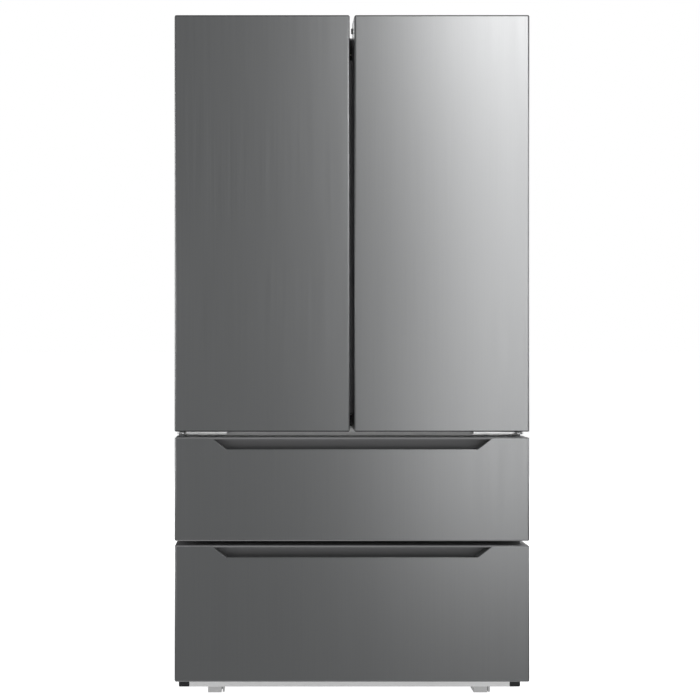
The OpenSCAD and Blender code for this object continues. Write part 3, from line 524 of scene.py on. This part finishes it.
def make_pocket_rims():
    """Rolled edge of the steel along the bottom and the two slants of each handle pocket."""
    roll, reach, trim = 2.8 * MM, 6 * MM, 0.2 * MM
    steps = 5
    arc = [math.radians(90 * n / steps) for n in range(steps + 1)]
    # From the face round into the pocket, then back behind the steel
    profile = [(roll * math.sin(a), roll * (1 - math.cos(a))) for a in arc]
    profile += [(roll, reach), (0, reach)]
    for body in ("upper_drawer", "lower_drawer"):
        low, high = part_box(body + "_skin")
        top, face = high[2], low[1]
        path = [(-POCKET_WIDE, top), (-POCKET_NARROW, top - POCKET_DEEP),
                (POCKET_NARROW, top - POCKET_DEEP), (POCKET_WIDE, top)]
        rings = []
        for n, (x, z) in enumerate(path):
            before = Vector(path[max(n - 1, 0)])
            after = Vector(path[min(n + 1, len(path) - 1)])
            here = Vector((x, z))
            ways = [w.normalized() for w in (here - before, after - here) if w.length > 0]
            # Mitred where two stretches of the path meet
            normals = [Vector((-w.y, w.x)) for w in ways]
            normal = sum(normals, Vector((0, 0))).normalized()
            normal /= normal.dot(normals[0])
            rings.append([(x + normal.x * inset, face + back, z + normal.y * inset)
                          for inset, back in profile])
        bm = bmesh.new()
        add_rings(bm, rings)
        bmesh.ops.bisect_plane(bm, geom=bm.verts[:] + bm.edges[:] + bm.faces[:],
                               plane_co=(0, 0, top - trim), plane_no=(0, 0, 1),
                               clear_outer=True)
        bmesh.ops.holes_fill(bm, edges=bm.edges)
        make_piece(body + "_pocket_rim", bm, "brushed_stainless", body)


def make_screws():
    """Screws round the back panel, along the machine cover and on the hinge covers."""
    low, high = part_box("back_panel")
    inset, pitch = 9 * MM, 190 * MM
    out, up = (0, 1, 0), (0, 0, 1)
    # The heads end level with the rearmost plane
    rear = cad_bounds[1][1] - SCREW_RADIUS * SCREW_RISE
    bm = bmesh.new()
    rise = high[2] - low[2] - 2 * inset
    count = int(rise / pitch)
    for n in range(count + 1):
        for x in (low[0] + inset, high[0] - inset):
            add_screw(bm, (x, rear, low[2] + inset + n * rise / count), out)
    bays = 5
    for n in range(1, bays):
        add_screw(bm, (low[0] + n * (high[0] - low[0]) / bays, rear, high[2] - inset), out)
    make_piece("back_panel_screws", bm, "bracket_steel", "cabinet")

    low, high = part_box("machine_cover")
    bm = bmesh.new()
    for x in (low[0] + inset, low[0] + pitch, -20 * MM, high[0] - pitch, high[0] - inset):
        for z in (high[2] - inset, low[2] + inset):
            add_screw(bm, (x, rear, z), out)
    make_piece("machine_cover_screws", bm, "bracket_steel", "cabinet")

    low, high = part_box("hinge_covers")
    sunk = 0.3 * MM
    bm = bmesh.new()
    for side in (-1, 1):
        # In mm from a cover's outer side and from its front
        for across, back in ((18, 95), (88, 95), (53, 22)):
            add_screw(bm, (side * (high[0] - across * MM), low[1] + back * MM, high[2] - sunk),
                      up, 3.6 * MM)
    make_piece("hinge_cover_screws", bm, "bracket_steel", "cabinet")


# Height of each door bin above the lowest one
BIN_STEPS = (0, 286 * MM, 566 * MM)
BIN_HEIGHT = 92 * MM


def make_bin_trims():
    """A pale band round the rim of each door bin, and ribs on its floor."""
    ribs, rib_half, proud, sunk = 9, 1 * MM, 1.2 * MM, 0.2 * MM
    for body in ("left_door", "right_door"):
        low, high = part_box(body + "_bins")
        front, back = high[1] + sunk, low[1] + 6 * MM
        x0, x1 = low[0] + 3.2 * MM, high[0] - 3.2 * MM
        bm = bmesh.new()
        for step in BIN_STEPS:
            floor = low[2] + step
            top = floor + BIN_HEIGHT
            add_block(bm, (x0, front - sunk, top - 15 * MM), (x1, front + proud, top - 4.5 * MM),
                      0.5 * MM)
            for n in range(ribs):
                x = x0 + (n + 0.5) * (x1 - x0) / ribs
                add_block(bm, (x - rib_half, back, floor + 3 * MM),
                          (x + rib_half, front - 7 * MM, floor + 4.4 * MM), 0.4 * MM)
        make_piece(body + "_bin_trims", bm, "frame_plastic", body)


def make_crisper_details():
    """Each crisper's humidity slider: its track, its knob and the ridges on the knob."""
    for body in ("crisper_left", "crisper_right"):
        low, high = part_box(body)
        front, top = low[1] + 14 * MM, high[2]
        middle = (low[0] + high[0]) / 2
        # In mm: across from the middle, out from the crisper's front, and down from its top
        blocks = [((-60, 60), (1.6, 0.1), (34, 22), 0.6),
                  ((-24, -6), (4.2, 1.4), (32.5, 23.5), 0.8)]
        for n in range(4):
            across = -20 + n * 3.4
            blocks.append(((across, across + 1.2), (4.8, 4.0), (31, 25), 0.3))
        bm = bmesh.new()
        for across, out, down, bevel in blocks:
            corners = [(middle + across[k] * MM, front - out[k] * MM, top - down[k] * MM)
                       for k in (0, 1)]
            add_block(bm, *corners, bevel * MM)
        make_piece(body + "_slider", bm, "frame_plastic", body)


def make_shelf_trims():
    """Satin bars along the shelves' front edges."""
    low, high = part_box("shelf_frames")
    frame_h, inset, half_split = 12 * MM, 1 * MM, 2 * MM
    whole = [(low[0], high[0])]
    halves = [(low[0], -half_split), (half_split, high[0])]
    bm = bmesh.new()
    # The shelf over the crispers is one piece, the two above it are split
    for above, spans in ((0, whole), (262 * MM, halves), (512 * MM, halves)):
        z = low[2] + above
        for x0, x1 in spans:
            add_block(bm, (x0 + inset, low[1] - 1.6 * MM, z + inset),
                      (x1 - inset, low[1] - 0.05 * MM, z + frame_h - inset), 0.7 * MM)
    make_piece("shelf_front_trims", bm, "aluminium", "cabinet")


def make_fan_guard():
    """Rings and spokes over the freezer fan."""
    low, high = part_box("evaporator_fan")
    front = front_of("evaporator_cover") + 2.5 * MM
    centre = Vector(((low[0] + high[0]) / 2, front, (low[2] + high[2]) / 2))
    wire, spoke_wire = 1.0 * MM, 1.1 * MM
    steps, sides, spokes = 40, 8, 8

    def around(count):
        angles = [2 * math.pi * n / count for n in range(count)]
        return [Vector((math.cos(a), 0, math.sin(a))) for a in angles]

    bm = bmesh.new()
    for radius in (12, 21, 30, 39):
        ring = []
        for out in around(steps):
            spine = centre + out * radius * MM
            ring.append([spine + out * wire * turn.x + Vector((0, wire * turn.z, 0))
                         for turn in around(sides)])
        add_rings(bm, ring, closed=True)
    for out in around(spokes):
        add_tube(bm, [centre + out * 11 * MM, centre + out * 49.5 * MM], spoke_wire, sides)
    make_piece("freezer_fan_guard", bm, "fan_plastic", "cabinet")


def make_pipes():
    """Steel lines from the compressor to the condenser and into the foam."""
    low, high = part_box("compressor")
    coil_low, coil_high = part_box("condenser")
    pipe, bend = 3.2 * MM, 14 * MM
    # Where the compressor's stubs stand, and how high the lines run over it
    stub_x = (low[0] + high[0] - 40 * MM) / 2 - 20 * MM
    stub_z = high[2] - 8 * MM
    over = high[2] + 22 * MM
    over_back = over + 8 * MM
    middle = (coil_low[1] + coil_high[1]) / 2
    hot_y, cold_y = middle + 30 * MM, middle - 30 * MM
    # Round the condenser's fan, then into the end of the coil
    run_y, entry_y = middle + 62 * MM, middle + 45 * MM
    drop_x, entry_z = coil_high[0] + 22 * MM, coil_high[2] - 16 * MM
    bm = bmesh.new()
    add_tube(bm, rounded_path([
        (stub_x, hot_y, stub_z), (stub_x, hot_y, over), (stub_x - 60 * MM, run_y, over),
        (drop_x, run_y, over), (drop_x, entry_y, entry_z),
        (coil_high[0] + 0.5 * MM, entry_y, entry_z)], bend), pipe)
    add_tube(bm, rounded_path([
        (stub_x, cold_y, stub_z), (stub_x, cold_y, over_back),
        (stub_x, front_of("evaporator_cover") - 92 * MM, over_back)], bend), pipe)
    make_piece("refrigerant_lines", bm, "bracket_steel", "cabinet")


def make_inlet_pins():
    """Three flat pins inside the power inlet."""
    low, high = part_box("power_inlet")
    half_x, half_z = 0.6 * MM, 1.2 * MM
    root, tip = high[1] - 15.8 * MM, high[1] - 4 * MM
    bm = bmesh.new()
    for across, up in ((-3.2, -1.6), (3.2, -1.6), (0, 2.2)):
        x = (low[0] + high[0]) / 2 + across * MM
        z = (low[2] + high[2]) / 2 + up * MM
        add_block(bm, (x - half_x, root, z - half_z), (x + half_x, tip, z + half_z), 0.3 * MM)
    make_piece("power_inlet_pins", bm, "bracket_steel", "cabinet")


def add_wire_divider(bm, low, high, wall):
    """Wires along the middle of a basket, front to back, on three uprights."""
    wires, pitch, sides = 9, 24 * MM, 10
    for n in range(wires):
        z = low[2] + 20 * MM + n * pitch
        add_tube(bm, [(0, low[1] + wall, z), (0, high[1] - wall, z)], 1.6 * MM, sides)
    for y in (low[1] + 40 * MM, (low[1] + high[1]) / 2, high[1] - 40 * MM):
        add_tube(bm, [(0, y, low[2] + 5 * MM), (0, y, low[2] + 216 * MM)], 2.2 * MM, sides)


def make_basket_ribs():
    """Ribs on the floors of the freezer baskets, and a divider in the lower one."""
    wall, inset, rib_half, ribs = 3 * MM, 12 * MM, 1.5 * MM, 16
    for body in ("upper_drawer", "lower_drawer"):
        low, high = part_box(body + "_basket")
        floor = low[2] + wall
        bm = bmesh.new()
        for n in range(ribs):
            x = low[0] + (n + 0.5) * (high[0] - low[0]) / ribs
            add_block(bm, (x - rib_half, low[1] + inset, floor - 0.2 * MM),
                      (x + rib_half, high[1] - inset, floor + 2 * MM), 0.7 * MM)
        if body == "lower_drawer":
            add_wire_divider(bm, low, high, wall)
        make_piece(body + "_basket_ribs", bm, "basket_plastic", body)


def make_control_strip():
    """Control strip in the fridge's roof, in front of the lamp, with plain round touch points."""
    low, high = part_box("ceiling_lamp")
    half, depth = 95 * MM, 46 * MM
    front, top = low[1] - 74 * MM, high[2]
    bm = bmesh.new()
    add_block(bm, (-half, front, top - 8 * MM), (half, front + depth, top - 0.1 * MM), 1.5 * MM)
    make_piece("control_strip", bm, "dark_plastic", "cabinet")
    point = [(5 * MM, 0), (5 * MM, 0.5 * MM), (4 * MM, 0.9 * MM), (0.3 * MM, 0.9 * MM)]
    pitch = 34 * MM
    bm = bmesh.new()
    for n in range(-2, 3):
        add_lathe(bm, point, (n * pitch, front + depth / 2, top - 7.9 * MM), (0, 0, -1), 24)
    make_piece("control_points", bm, "lamp_lens", "cabinet")


def make_divider_trims():
    """White end caps beside the divider, over the foam between the two liners' rims."""
    low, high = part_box("freezer_divider")
    case_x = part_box("mid_rail")[1][0]
    gap = 0.3 * MM
    bm = bmesh.new()
    for side in (-1, 1):
        x0, x1 = sorted((side * (high[0] + gap), side * (case_x - gap)))
        add_block(bm, (x0, low[1] + 0.1 * MM, low[2] + gap), (x1, low[1] + 1.1 * MM, high[2] - gap),
                  0.3 * MM)
    make_piece("divider_end_trims", bm, "liner_white", "cabinet")


def make_details():
    make_seals()
    make_pocket_rims()
    make_screws()
    make_bin_trims()
    make_crisper_details()
    make_shelf_trims()
    make_fan_guard()
    make_pipes()
    make_inlet_pins()
    make_basket_ribs()
    make_control_strip()
    make_divider_trims()


make_camera()
make_studio()
make_floor()
dress_nodes()
make_details()

SCENE.view_settings.view_transform = "Standard"
SCENE.view_settings.look = "None"
